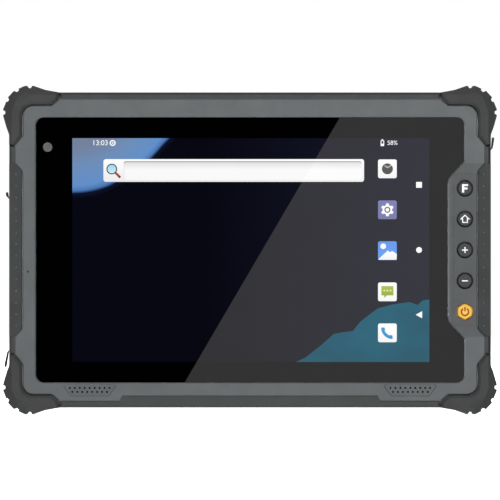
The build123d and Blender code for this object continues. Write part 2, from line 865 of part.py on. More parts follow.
def port_sockets():
    for name, (side, z, along_z, along_y, length, mouth_z, mouth_y) in sockets.items():
        with BuildPart() as socket:
            socket_block(side, z, along_z, along_y, length, 0.0)
            depth = port_board_back + along_y / 2 - guard_depth / 2
            mouth = Plane((side * port_mouth, depth, mid_height + z), x_dir=(0, 0, 1), z_dir=(side, 0, 0))
            if name in ("power_socket", "audio_socket"):
                with BuildSketch(mouth) as bore:
                    Circle(mouth_y / 2)
                    if name == "power_socket":
                        Circle(1.05, mode=Mode.SUBTRACT)
                extrude(bore.sketch, amount=-(length - 2), mode=Mode.SUBTRACT)
            elif mouth_z:
                with BuildSketch(mouth) as slot:
                    RectangleRounded(mouth_z, mouth_y, mouth_y * 0.3)
                    Rectangle(mouth_z * 0.8, mouth_y * 0.3, mode=Mode.SUBTRACT)
                extrude(slot.sketch, amount=-(length - 2), mode=Mode.SUBTRACT)
            else:
                with BuildSketch(mouth) as groove:
                    Rectangle(along_z - 2, along_y - 0.8)
                    Rectangle(along_z - 2.6, along_y - 1.4, mode=Mode.SUBTRACT)
                extrude(groove.sketch, amount=-0.4, mode=Mode.SUBTRACT)
        finish(socket, name)


def latch_slot(mode):
    """Pocket for a latch: narrow at the back face, with undercuts that hold the latch's rails."""
    floor = cover_back - 0.3 - latch_thickness - latch_gap
    low = latch_bottom - latch_gap
    high = latch_bottom + latch_height + spring_length
    for side in (-1, 1):
        x = side * latch_x
        z = (low + high) / 2
        wide = latch_width + 2 * (latch_rail + latch_gap)
        rail_back = floor + latch_gap + latch_rail_thickness + latch_gap
        block(x, z, latch_width + 2 * latch_gap, high - low, floor, cover_back + 1, mode=mode)
        block(x, z, wide, high - low, floor, rail_back, mode=mode)
        tongue_back = floor + latch_gap + latch_tongue_thickness + latch_gap
        block(x, bay_top + bay_wall / 2, latch_tongue_width + 2 * latch_gap, bay_wall + 1,
              floor, tongue_back, mode=mode)


def rear_cover():
    latch_floor = cover_back - 0.3 - latch_thickness - latch_gap
    latch_low = latch_bottom - latch_gap
    latch_high = latch_bottom + latch_height + spring_length
    bay = rounded(bay_width, bay_height, 3.0)
    bay_tub = rounded(bay_width + 2 * bay_wall, bay_height + 2 * bay_wall, 3.0 + bay_wall)
    with BuildPart() as cover:
        slab(shell_outline(), frame_back, cover_back)
        back_edges = cover.faces().sort_by(Axis.Y)[-1].edges()
        chamfer(back_edges, length=cover_chamfer)
        slab(rounded(inner_width, inner_height, case_inner_radius), frame_back - 1, cover_inner,
             mode=Mode.SUBTRACT)
        # Tub for the battery, blocks behind the latches and columns for the screws
        with BuildSketch(level(cover_inner)) as tub:
            with Locations((0, -battery_centre_drop)):
                add(bay_tub)
        extrude(tub.sketch, amount=cover_inner - bay_floor_back + bay_floor)
        for side in (-1, 1):
            width = latch_width + 2 * (latch_rail + latch_gap + 1.4)
            block(side * latch_x, (latch_low + latch_high) / 2, width, latch_high - latch_low + 2.4,
                  latch_floor - 1.2, cover_inner)
        pillars(case_screw_points, case_screw_column_radius, frame_back, cover_inner)
        pillars(insert_points, insert_radius + 1.5, cover_back - insert_length - 1.5, cover_inner)
        for side in (-1, 1):
            pillars(port_board_screw_points(side), board_post_radius, port_board_back, cover_inner)
        # Battery bay, open at the back
        with BuildSketch(level(cover_back + 1)) as hollow:
            with Locations((0, -battery_centre_drop)):
                add(bay)
        extrude(hollow.sketch, amount=cover_back + 1 - bay_floor_back, mode=Mode.SUBTRACT)
        place = battery_connector_place()
        block(*place, *battery_connector_size, frame_back, bay_floor_back + 1, mode=Mode.SUBTRACT)
        latch_slot(Mode.SUBTRACT)
        # Screw holes, sunk into the back
        head_hole = case_screw_head_radius + screw_hole_gap
        pillars(case_screw_points, case_screw_radius, frame_back - 1, cover_back + 1, mode=Mode.SUBTRACT)
        head_seat = cover_back - case_screw_sink
        pillars(case_screw_points, head_hole, head_seat, cover_back + 1, mode=Mode.SUBTRACT)
        guard_hole = cover_back - guard_screw_bite - 0.2
        pillars(guard_screw_points, guard_screw_radius, guard_hole, cover_back + 1, mode=Mode.SUBTRACT)
        pillars(insert_points, insert_radius, cover_back - insert_length, cover_back + 1, mode=Mode.SUBTRACT)
        for side in (-1, 1):
            points = port_board_screw_points(side)
            pillars(points, board_screw_radius, port_board_back - 1, port_board_back + 4, mode=Mode.SUBTRACT)
        # Rear camera, its window and its flash
        barrel = rear_camera_barrel_radius + 0.2
        pillars([rear_camera_place()], barrel, cover_inner - 1, cover_back + 1, mode=Mode.SUBTRACT)
        window_seat = cover_back - 0.1 - rear_window_thickness
        window = rear_window_radius + 0.1
        pillars([rear_camera_place()], window, window_seat, cover_back + 1, mode=Mode.SUBTRACT)
        pillars([flash_place()], flash_radius + 0.1, cover_inner - 1, cover_back + 1, mode=Mode.SUBTRACT)
        # Bays for the port covers, with holes for the hinge pins and the sockets
        for side, hinge, free, _, _ in port_covers.values():
            door_bay(side, hinge, free)
        for side, z, along_z, along_y, length, _, _ in sockets.values():
            socket_block(side, z, along_z, along_y, length, 0.15, mode=Mode.SUBTRACT)
        # Seat of the dock contacts, in the bottom wall
        seat_height = 2 * (dock_sink + dock_thickness)
        block(0, -half_height, dock_length, seat_height, dock_front, dock_back, mode=Mode.SUBTRACT)
    finish(cover, "rear_cover")
    seat = cover_back - case_screw_sink
    screws("case_screws", case_screw_points, case_screw_radius, case_screw_head_radius, seat, case_screw_head,
           seat - chassis_back)


def battery_connector_place():
    return (battery_connector_x, bay_top - battery_connector_size[1])


def rear_camera_place():
    return (-half_width + rear_camera_inset, half_height - rear_camera_drop)


def flash_place():
    x, z = rear_camera_place()
    return (x + flash_distance, z)


def door_bay(side, hinge, free):
    """Cuts the bay that a port cover closes into, and the holes for its hinge pin."""
    up = 1 if free > hinge else -1
    axis_x = half_width - door_thickness / 2
    hinge_end = hinge - up * (door_thickness / 2 + hinge_end_gap)
    free_end = free + up * door_gap
    depth = door_thickness + door_gap
    x = side * (half_width - depth / 2 + 1)
    block(x, (hinge_end + free_end) / 2, depth + 2, abs(free_end - hinge_end),
          door_front - door_gap, door_back + door_gap, mode=Mode.SUBTRACT)
    pin_low = door_front - door_gap - 0.9
    pin_high = door_back + door_gap + 0.7
    pillars([(side * axis_x, hinge)], hinge_pin_radius, pin_low, pin_high, mode=Mode.SUBTRACT)


def doors():
    pins = []
    for name, (side, hinge, free, reach, proud) in port_covers.items():
        up = 1 if free > hinge else -1
        axis_x = half_width - door_thickness / 2
        with BuildPart() as door:
            middle = (hinge + free) / 2
            block(side * axis_x, middle, door_thickness, abs(free - hinge), door_front, door_back)
            pillars([(side * axis_x, hinge)], door_thickness / 2, door_front, door_back)
            pillars([(side * axis_x, hinge)], hinge_pin_radius + hinge_pin_clearance,
                    door_front - 1, door_back + 1, mode=Mode.SUBTRACT)
            lip = [
                (side * (half_width - 0.4), free - up * lip_root),
                (side * (half_width + 1.25), free + up * lip_root),
                (side * (half_width + proud), free + up * (reach - 1.5)),
                (side * (half_width + proud), free + up * reach),
                (side * (half_width + proud - 0.9), free + up * reach),
                (side * (half_width + 0.4), free),
                (side * (half_width - 0.4), free),
            ]
            lip_outline = polygon(lip, [0.0, 0.4, 0.6, 0.3, 0.3, 0.0, 0.0])
            slab(lip_outline, door_front + lip_margin, door_back - lip_margin)
        finish(door, name)
        pins.append((side * axis_x, hinge))
    with BuildPart() as pin_group:
        pillars(pins, hinge_pin_radius, door_front - door_gap - 0.9, door_back + door_gap + 0.7)
    finish(pin_group, "port_cover_pins")


def battery():
    back = cover_back - battery_sink
    with BuildPart() as pack:
        with BuildSketch(level(back)) as outline:
            with Locations((0, -battery_centre_drop)):
                RectangleRounded(battery_width, battery_height, 2.8)
        extrude(outline.sketch, amount=back - bay_floor_back)
        chamfer(pack.faces().sort_by(Axis.Y)[-1].edges(), length=0.5)
        # Notches that the latch tongues lock into
        floor = cover_back - 0.3 - latch_thickness
        for side in (-1, 1):
            block(side * latch_x, bay_top, latch_tongue_width + 1.0, 2 * (latch_tongue + 0.4),
                  floor - latch_gap, floor + latch_tongue_thickness + latch_gap, mode=Mode.SUBTRACT)
    finish(pack, "battery_pack")
    with BuildPart() as connector:
        block(*battery_connector_place(), *battery_connector_size, board_back, bay_floor_back)
    finish(connector, "battery_connector")


def latches():
    front = cover_back - 0.3 - latch_thickness
    spring_low = latch_bottom + latch_height
    for side, label in ((-1, "left"), (1, "right")):
        x = side * latch_x
        middle = latch_bottom + latch_height / 2
        with BuildPart() as latch:
            block(x, middle, latch_width, latch_height, front, cover_back - 0.3)
            for n in range(4):
                groove = latch_bottom + 3.0 + 2.0 * n
                block(x, groove, latch_width - 4, 0.9, cover_back - 0.9, cover_back, mode=Mode.SUBTRACT)
            block(x, middle, latch_width + 2 * latch_rail, latch_height, front, front + latch_rail_thickness)
            tongue_top = latch_bottom + 1
            tongue_low = bay_top - latch_tongue
            block(x, (tongue_top + tongue_low) / 2, latch_tongue_width, tongue_top - tongue_low,
                  front, front + latch_tongue_thickness)
        finish(latch, f"battery_latch_{label}")
        radius = spring_radius
        centre = (x, front + latch_thickness / 2 - guard_depth / 2, mid_height + spring_low + spring_wire / 2)
        height = spring_length - spring_wire
        with BuildPart() as spring:
            with BuildLine() as coil:
                Helix(height / spring_turns, height, radius, center=centre, direction=(0, 0, 1))
            with BuildSketch(Plane(coil.line @ 0, z_dir=coil.line % 0)) as wire:
                Circle(spring_wire / 2)
            sweep(wire.sketch, path=coil.line)
        finish(spring, f"latch_spring_{label}")


def rear_pieces():
    with BuildPart() as camera:
        x, z = rear_camera_place()
        window_front = cover_back - 0.1 - rear_window_thickness
        block(x, z, rear_camera_size, rear_camera_size, cover_inner - 5.7, cover_inner)
        pillars([(x, z)], rear_camera_barrel_radius, cover_inner, window_front)
        pillars([(x, z)], 2.2, window_front - 0.6, cover_back, mode=Mode.SUBTRACT)
    finish(camera, "rear_camera")
    with BuildPart() as window:
        pillars([rear_camera_place()], rear_window_radius, window_front, cover_back - 0.1)
    finish(window, "rear_camera_window")
    with BuildPart() as flash:
        pillars([flash_place()], flash_radius, cover_inner - 0.6, cover_back - 0.2)
        pillars([flash_place()], flash_flange_radius, cover_inner - 1.4, cover_inner)
    finish(flash, "flash")
    with BuildPart() as inserts:
        pillars(insert_points, insert_radius, cover_back - insert_length, cover_back)
        pillars(insert_points, insert_bore_radius, cover_back - insert_length + 0.8, cover_back + 1,
                mode=Mode.SUBTRACT)
    finish(inserts, "strap_inserts")
    with BuildPart() as motor:
        pillars([(-35, half_height - 24)], 5.0, cover_inner - 3.0, cover_inner)
    finish(motor, "vibration_motor")
    with BuildPart() as satellite:
        block(62, half_height - 26, 25, 25, cover_inner - 4.0, cover_inner)
    finish(satellite, "satellite_antenna")
    with BuildPart() as radio:
        block(72, half_height - 8.4, 44, 4, cover_inner - 0.8, cover_inner)
    finish(radio, "radio_antenna")


def dock():
    pin_places = [(n - (dock_pin_count - 1) / 2) * dock_pin_pitch for n in range(dock_pin_count)]
    y = (dock_front + dock_back) / 2 - guard_depth / 2
    middle = -half_height + dock_sink + dock_thickness / 2
    with BuildPart() as body:
        block(0, middle, dock_length, dock_thickness, dock_front, dock_back)
        with Locations(*[(x, y, mid_height + middle) for x in pin_places]):
            Cylinder(dock_pin_radius, 2 * dock_thickness, mode=Mode.SUBTRACT)
    finish(body, "dock_block")
    with BuildPart() as pins:
        pin_length = dock_thickness - dock_pin_sink
        with Locations(*[(x, y, mid_height + middle + dock_pin_sink / 2) for x in pin_places]):
            Cylinder(dock_pin_radius, pin_length)
    finish(pins, "dock_pins")


def guards():
    envelope = guard_envelope()
    seat = cover_back + guard_screw_land
    head_hole = guard_screw_head_radius + screw_hole_gap
    for side, end in corners:
        label = ("bottom" if end < 0 else "top") + ("_left" if side < 0 else "_right")
        with BuildPart() as guard:
            slab(guard_outline(side, end), 0.0, guard_depth)
            add(envelope, mode=Mode.INTERSECT)
            inner_edges = guard.faces().sort_by(Axis.Y)[0].edges().filter_by(
                lambda edge: abs(edge.center().X) < half_width - 4.2
                and abs(edge.center().Z - mid_height) < half_height - 1.2
            )
            chamfer(inner_edges, length=guard_inner_bevel)
            slab(guard_notches(side, end), -1, guard_depth + 1, mode=Mode.SUBTRACT)
            slab(shell_outline(), frame_front, cover_back, mode=Mode.SUBTRACT)
            pillars(guard_screw_points, guard_screw_radius, cover_back - 1, guard_depth, mode=Mode.SUBTRACT)
            pillars(guard_screw_points, head_hole, seat, guard_depth + 1, mode=Mode.SUBTRACT)
        finish(guard, f"corner_guard_{label}")
    screws("guard_screws", guard_screw_points, guard_screw_radius, guard_screw_head_radius, seat,
           guard_screw_head, guard_screw_land + guard_screw_bite)


def grips():
    for side, label in ((-1, "left"), (1, "right")):
        with BuildPart() as grip:
            slab(grip_outline(side, 0.0), grip_front, grip_front + grip_skin)
            x = side * (half_width - grip_skin / 2)
            block(x, 0, grip_skin, 2 * grip_half_length, grip_front + grip_skin, grip_front + grip_depth)
            ball = (grip_dot_radius**2 + grip_dot_height**2) / (2 * grip_dot_height)
            for n in range(grip_dot_count):
                z = (n - (grip_dot_count - 1) / 2) * grip_dot_pitch
                centre = grip_front - grip_dot_height + ball - guard_depth / 2
                with Locations((side * (half_width - grip_dot_inset), centre, mid_height + z)):
                    Sphere(ball)
        finish(grip, f"side_grip_{label}")


front_bezel()
cover_glass()
glass_seal()
display()
keys()
audio()
front_camera()
middle_frame()
chassis()
electronics()
port_boards()
inner_screws()
port_sockets()
rear_cover()
doors()
battery()
latches()
rear_pieces()
dock()
guards()
grips()
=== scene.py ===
import json
import math

import bmesh
import bpy
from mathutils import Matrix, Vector


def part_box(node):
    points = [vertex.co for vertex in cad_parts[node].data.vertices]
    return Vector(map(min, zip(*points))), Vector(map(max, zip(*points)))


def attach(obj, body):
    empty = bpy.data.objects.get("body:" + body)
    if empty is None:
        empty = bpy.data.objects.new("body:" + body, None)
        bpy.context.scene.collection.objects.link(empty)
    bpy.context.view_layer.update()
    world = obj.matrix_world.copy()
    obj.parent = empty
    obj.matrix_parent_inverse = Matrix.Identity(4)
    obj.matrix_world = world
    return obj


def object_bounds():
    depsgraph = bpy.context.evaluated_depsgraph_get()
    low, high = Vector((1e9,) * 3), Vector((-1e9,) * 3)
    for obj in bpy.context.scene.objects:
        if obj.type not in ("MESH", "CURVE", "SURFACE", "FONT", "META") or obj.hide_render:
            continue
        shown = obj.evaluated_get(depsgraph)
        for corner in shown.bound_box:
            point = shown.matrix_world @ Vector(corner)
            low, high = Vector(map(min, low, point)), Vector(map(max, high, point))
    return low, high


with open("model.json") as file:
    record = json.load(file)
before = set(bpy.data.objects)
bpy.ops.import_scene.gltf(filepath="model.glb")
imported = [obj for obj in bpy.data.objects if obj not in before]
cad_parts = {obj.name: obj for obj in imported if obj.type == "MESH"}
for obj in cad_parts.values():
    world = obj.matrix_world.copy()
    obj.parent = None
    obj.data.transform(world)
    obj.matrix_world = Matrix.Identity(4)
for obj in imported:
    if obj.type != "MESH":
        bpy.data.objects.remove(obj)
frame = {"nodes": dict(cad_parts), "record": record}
cad_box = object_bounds()

# Outlines are given in millimetres as seen from the front, from the middle of the tablet: x to the
# right and z up. Depths, lights and the camera are in metres.
MM = 0.001
WHITE = (1.0, 1.0, 1.0, 1.0)
glass_low, glass_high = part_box("cover_glass")
MIDDLE = (glass_low.z + glass_high.z) / 2
FRONT = cad_box[0].y
TARGET = Vector((0, 0, MIDDLE))

# Camera and stage
VIEW_WIDTH = 0.240
CAMERA_DISTANCE = 4.0
SENSOR = 36.0
FLOOR_SIZE = 6.0
FLOOR_GAP = 0.0002
FLOOR_GLOW = 0.82
FLOOR_WHITE_FROM = 0.3
FLOOR_WHITE_AT = 1.5
CARD_DISTANCE = 1.8
CARD_STRENGTH = 0.84
WALL_STRENGTH = 0.08

# Screen: the lit area within the display module, and the layers that make its picture
SCREEN_MARGIN_SIDE = 3.15
SCREEN_MARGIN_END = 2.9
SCREEN_X = 0.4
panel_low, panel_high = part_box("display_panel")
half_w = (panel_high.x - panel_low.x) / 2 / MM - SCREEN_MARGIN_SIDE
half_h = (panel_high.z - panel_low.z) / 2 / MM - SCREEN_MARGIN_END
PRINT_GAP = 0.10 * MM
SHEET = 0.08 * MM
LAYER = 0.015 * MM
INK_INSET = 0.02
CAMERA_HOLE = 2.25

# Wallpaper: the planet, where its limb lies on its colour ramp, and the sky
PLANET_X = -88.0
PLANET_Z = 88.0
PLANET_RADIUS = 60.2
PLANET_EDGE = 0.8
NIGHT = (0.0021, 0.0021, 0.0060, 1.0)
NO_LIGHT = (0.0, 0.0, 0.0, 1.0)
STARS_PER_METRE = 70.0

# Cover glass: corners, and the notch that leaves room for the key panel
GLASS_RADIUS = 3.8
NOTCH_DEPTH = 8.0
NOTCH_HALF = 42.7
NOTCH_STRAIGHT = 31.0
NOTCH_RADIUS = 6.0
PANEL_LEFT = glass_high.x - 7.0 * MM
PANEL_HALF = 42.0 * MM

# Patches of tone on moulded pieces, and the depth of tool marks on metal
PATCH = 0.012
MARK_DEPTH = 0.000006

# Sockets of a mix node that mixes colours
FIRST_COLOUR = 6
SECOND_COLOUR = 7
BLENDED_COLOUR = 2


# ---------------------------------------------------------------- materials

def colour(red, green, blue):
    """A colour given as 0 to 255, in the linear values that shaders take."""
    def linear(value):
        share = value / 255
        return share / 12.92 if share <= 0.04045 else ((share + 0.055) / 1.055) ** 2.4
    return (linear(red), linear(green), linear(blue), 1.0)


def grey(value):
    return colour(value, value, value)


def new_material(name):
    """A material with a Principled shader, and its node tree and that shader."""
    material = bpy.data.materials.new(name)
    material.use_nodes = True
    tree = material.node_tree
    return material, tree, tree.nodes["Principled BSDF"]


def add(tree, kind, inputs=None, **settings):
    """A node whose inputs are set to values or linked to sockets."""
    made = tree.nodes.new(kind)
    for key, value in settings.items():
        setattr(made, key, value)
    for key, value in (inputs or {}).items():
        if isinstance(value, bpy.types.NodeSocket):
            tree.links.new(value, made.inputs[key])
        else:
            made.inputs[key].default_value = value
    return made


def object_place(tree):
    return add(tree, "ShaderNodeTexCoord").outputs["Object"]


def coordinate(tree, axis):
    """The place along one axis, in metres."""
    return add(tree, "ShaderNodeSeparateXYZ", {"Vector": object_place(tree)}).outputs[axis]


def front_place(tree):
    """The place as seen from the front, with its depth left out."""
    inputs = {0: object_place(tree), 1: (1.0, 0.0, 1.0)}
    return add(tree, "ShaderNodeVectorMath", inputs, operation="MULTIPLY").outputs["Vector"]


def distance(tree, x, z):
    """How far the place is from a point seen from the front, all in metres."""
    inputs = {0: front_place(tree), 1: (x, 0.0, z)}
    return add(tree, "ShaderNodeVectorMath", inputs, operation="DISTANCE").outputs["Value"]


def noise(tree, size, detail=2.0, stretch=(1.0, 1.0, 1.0)):
    """Noise with features of about this size in metres, drawn out along an axis where stretch is over 1."""
    scale = [1 / (size * along) for along in stretch]
    place = add(tree, "ShaderNodeMapping", {"Vector": object_place(tree), "Scale": scale})
    inputs = {"Vector": place.outputs["Vector"], "Scale": 1.0, "Detail": detail}
    return add(tree, "ShaderNodeTexNoise", inputs).outputs["Fac"]


def spread(tree, value, low, high, start=0.3, end=0.7):
    """Carries start to end over to low to high."""
    inputs = {"Value": value, "From Min": start, "From Max": end, "To Min": low, "To Max": high}
    return add(tree, "ShaderNodeMapRange", inputs).outputs["Result"]


def ramp(tree, value, stops):
    """Colours along a value from 0 to 1."""
    made = add(tree, "ShaderNodeValToRGB", {"Fac": value})
    elements = made.color_ramp.elements
    while len(elements) < len(stops):
        elements.new(1.0)
    for element, (at, shade) in zip(elements, stops):
        element.position = at
        element.color = shade
    return made.outputs["Color"]


def relief(tree, height, depth):
    """A surface relief of this depth in metres."""
    inputs = {"Height": height, "Distance": depth, "Strength": 1.0}
    return add(tree, "ShaderNodeBump", inputs).outputs["Normal"]


def retone(material, share, second, kind="MIX"):
    """Blends a second colour into a material's base colour where the share is high."""
    tree = material.node_tree
    base = tree.nodes["Principled BSDF"].inputs["Base Color"]
    inputs = {"Factor": share, FIRST_COLOUR: base.links[0].from_socket, SECOND_COLOUR: second}
    blend = add(tree, "ShaderNodeMix", inputs, data_type="RGBA", blend_type=kind)
    tree.links.new(blend.outputs[BLENDED_COLOUR], base)


def moulded(name, dark, light, roughness, grain=0.00035, depth=0.00003, **constants):
    """Moulded plastic or rubber: two close tones in soft patches, with a fine spark-eroded grain."""
    material, tree, shader = new_material(name)
    tone = ramp(tree, noise(tree, PATCH, 4.0), [(0.35, dark), (0.65, light)])
    tree.links.new(tone, shader.inputs["Base Color"])
    uneven = spread(tree, noise(tree, PATCH / 3, 3.0), roughness - 0.03, roughness + 0.03)
    tree.links.new(uneven, shader.inputs["Roughness"])
    tree.links.new(relief(tree, noise(tree, grain, 3.0), depth), shader.inputs["Normal"])
    for socket, value in constants.items():
        shader.inputs[socket.replace("_", " ")].default_value = value
    return material


def bezel_with_painted_panel_shade(name, dark, light, shade, roughness):
    """The bezel's plastic, darker on the key panel: painted shade for the recessed panel."""
    material = moulded(name, dark, light, roughness, Specular_IOR_Level=0.3, Coat_Weight=0.15,
                       Coat_Roughness=0.1)
    tree = material.node_tree
    right = spread(tree, coordinate(tree, "X"), 0.0, 1.0, PANEL_LEFT, PANEL_LEFT + 0.3 * MM)
    up = add(tree, "ShaderNodeMath", {0: coordinate(tree, "Z"), 1: MIDDLE}, operation="SUBTRACT")
    away = add(tree, "ShaderNodeMath", {0: up.outputs[0]}, operation="ABSOLUTE")
    within = spread(tree, away.outputs[0], 1.0, 0.0, PANEL_HALF - 0.6 * MM, PANEL_HALF)
    share = add(tree, "ShaderNodeMath", {0: right, 1: within}, operation="MULTIPLY")
    # Painted shade: the key panel's colour is multiplied darker.
    retone(material, share.outputs[0], shade, "MULTIPLY")
    return material


def studded_with_painted_highlight(name, dark, light, painted_tip_highlight, front, reach):
    """Grip rubber whose studs are paler at their tips: a painted highlight where light catches the stud
    tops.
    """
    material = moulded(name, dark, light, 0.62, 0.0005, 0.00006, Specular_IOR_Level=0.25)
    tree = material.node_tree
    retone(material, spread(tree, coordinate(tree, "Y"), 1.0, 0.0, front, front + reach), painted_tip_highlight)
    return material


def metal(name, dark, light, roughness, stretch=(1.0, 1.0, 1.0), size=0.0006):
    """Metal with tool marks drawn out along one axis."""
    material, tree, shader = new_material(name)
    marks = noise(tree, size, 4.0, stretch)
    tree.links.new(ramp(tree, marks, [(0.3, dark), (0.7, light)]), shader.inputs["Base Color"])
    tree.links.new(spread(tree, marks, roughness - 0.08, roughness + 0.08), shader.inputs["Roughness"])
    tree.links.new(relief(tree, marks, MARK_DEPTH), shader.inputs["Normal"])
    shader.inputs["Metallic"].default_value = 1.0
    return material


def pane(name, tint, mirrored):
    """A clear sheet: it shows what is behind it and, where asked, mirrors the room by its Fresnel share."""
    material, tree, shader = new_material(name)
    tree.nodes.remove(shader)
    dimmer = [0.98 * share for share in tint[:3]] + [1.0]
    wiped = ramp(tree, noise(tree, 0.02, 3.0), [(0.3, dimmer), (0.7, tint)])
    surface = add(tree, "ShaderNodeBsdfTransparent", {"Color": wiped})
    if mirrored:
        mirror = add(tree, "ShaderNodeBsdfGlossy", {"Roughness": 0.0, "Color": WHITE})
        share = add(tree, "ShaderNodeFresnel", {"IOR": 1.5})
        surface = add(tree, "ShaderNodeMixShader", {0: share.outputs["Fac"], 1: surface.outputs[0],
                                                    2: mirror.outputs[0]})
    output = next(n for n in tree.nodes if n.type == "OUTPUT_MATERIAL")
    tree.links.new(surface.outputs[0], output.inputs["Surface"])
    return material


def glazed(shader):
    """Gives the sheet under the cover glass the polish of that glass, since the two are bonded."""
    shader.inputs["Base Color"].default_value = (0.0004, 0.0004, 0.0004, 1.0)
    shader.inputs["Specular IOR Level"].default_value = 0.5
    shader.inputs["Roughness"].default_value = 0.0


def shining(material, picture):
    """Lets a material shine in the colours of a picture, under the polish of the cover glass."""
    tree = material.node_tree
    shader = tree.nodes["Principled BSDF"]
    tree.links.new(picture, shader.inputs["Emission Color"])
    shader.inputs["Emission Strength"].default_value = 1.0
    glazed(shader)
    return material


def lit(name, top, bottom, high, low):
    """A lit patch of the screen, whose colour runs from top to bottom between two heights in millimetres."""
    material, tree, _ = new_material(name)
    share = spread(tree, coordinate(tree, "Z"), 0.0, 1.0, MIDDLE + low * MM, MIDDLE + high * MM)
    return shining(material, ramp(tree, share, [(0.0, bottom), (1.0, top)]))


def circuit_board(name):
    """Green solder mask over copper tracks and pads."""
    material, tree, shader = new_material(name)
    tracks = add(tree, "ShaderNodeTexVoronoi", {"Vector": object_place(tree), "Scale": 420.0},
                 feature="DISTANCE_TO_EDGE", distance="MANHATTAN")
    away = tracks.outputs["Distance"]
    mask = ramp(tree, away, [(0.04, colour(52, 120, 70)), (0.07, colour(18, 72, 42))])
    tree.links.new(mask, shader.inputs["Base Color"])
    tree.links.new(relief(tree, away, 0.00003), shader.inputs["Normal"])
    tree.links.new(spread(tree, noise(tree, 0.004), 0.3, 0.45), shader.inputs["Roughness"])
    return material


def key_cap(name, key, stops, reach, roughness):
    """Plastic whose colour runs from the middle of a key out to a reach in millimetres; the stops given
    darken towards the rim as painted shade.
    """
    material, tree, shader = new_material(name)
    low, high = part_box(key)
    away = distance(tree, (low.x + high.x) / 2, (low.z + high.z) / 2)
    share = spread(tree, away, 0.0, 1.0, 0.0, reach * MM)
    cloudy = add(tree, "ShaderNodeMath", {0: share, 1: spread(tree, noise(tree, 0.0012), -0.02, 0.02)})
    tree.links.new(ramp(tree, cloudy.outputs[0], stops), shader.inputs["Base Color"])
    uneven = spread(tree, noise(tree, 0.0015), roughness - 0.06, roughness + 0.06)
    tree.links.new(uneven, shader.inputs["Roughness"])
    tree.links.new(relief(tree, noise(tree, 0.0003), 0.00001), shader.inputs["Normal"])
    shader.inputs["Specular IOR Level"].default_value = 0.3
    return material


def wallpaper(name):
    """Night sky with the blue limb of a planet at the top left, and a few stars."""
    material, tree, _ = new_material(name)
    away = distance(tree, PLANET_X * MM, MIDDLE + PLANET_Z * MM)
    far = spread(tree, away, 0.0, 1.0, 0.0, PLANET_RADIUS * MM / PLANET_EDGE)
    wavy = spread(tree, noise(tree, 0.03), -0.015, 0.015)
    warped = add(tree, "ShaderNodeMath", {0: far, 1: wavy}).outputs[0]
    planet = ramp(tree, warped, [
        (PLANET_EDGE - 0.30, colour(116, 130, 156)),
        (PLANET_EDGE - 0.17, colour(110, 142, 186)),
        (PLANET_EDGE - 0.04, colour(98, 144, 202)),
        (PLANET_EDGE - 0.010, colour(76, 120, 182)),
        (PLANET_EDGE + 0.008, colour(12, 20, 44)),
        (PLANET_EDGE + 0.04, NIGHT),
    ])
    across = spread(tree, coordinate(tree, "X"), 0.0, 1.0, -0.02, 0.08)
    haze = ramp(tree, across, [(0.0, NO_LIGHT), (1.0, (0.0060, 0.0066, 0.0150, 1.0))])
    cells = add(tree, "ShaderNodeTexVoronoi", {"Vector": front_place(tree), "Scale": STARS_PER_METRE})
    stars = ramp(tree, cells.outputs["Distance"], [(0.0, (0.06, 0.07, 0.08, 1.0)), (0.022, NO_LIGHT)])
    sky = add(tree, "ShaderNodeVectorMath", {0: planet, 1: haze}, operation="ADD")
    whole = add(tree, "ShaderNodeVectorMath", {0: sky.outputs["Vector"], 1: stars}, operation="ADD")
    return shining(material, whole.outputs["Vector"])


def hills_material(name):
    """Teal ground that rises at the bottom right of the wallpaper."""
    material, tree, _ = new_material(name)
    tones = [(0.3, colour(12, 80, 100)), (0.55, colour(10, 91, 113)), (0.75, colour(26, 95, 118))]
    return shining(material, ramp(tree, noise(tree, 0.02, 5.0, (1.6, 1.0, 1.0)), tones))
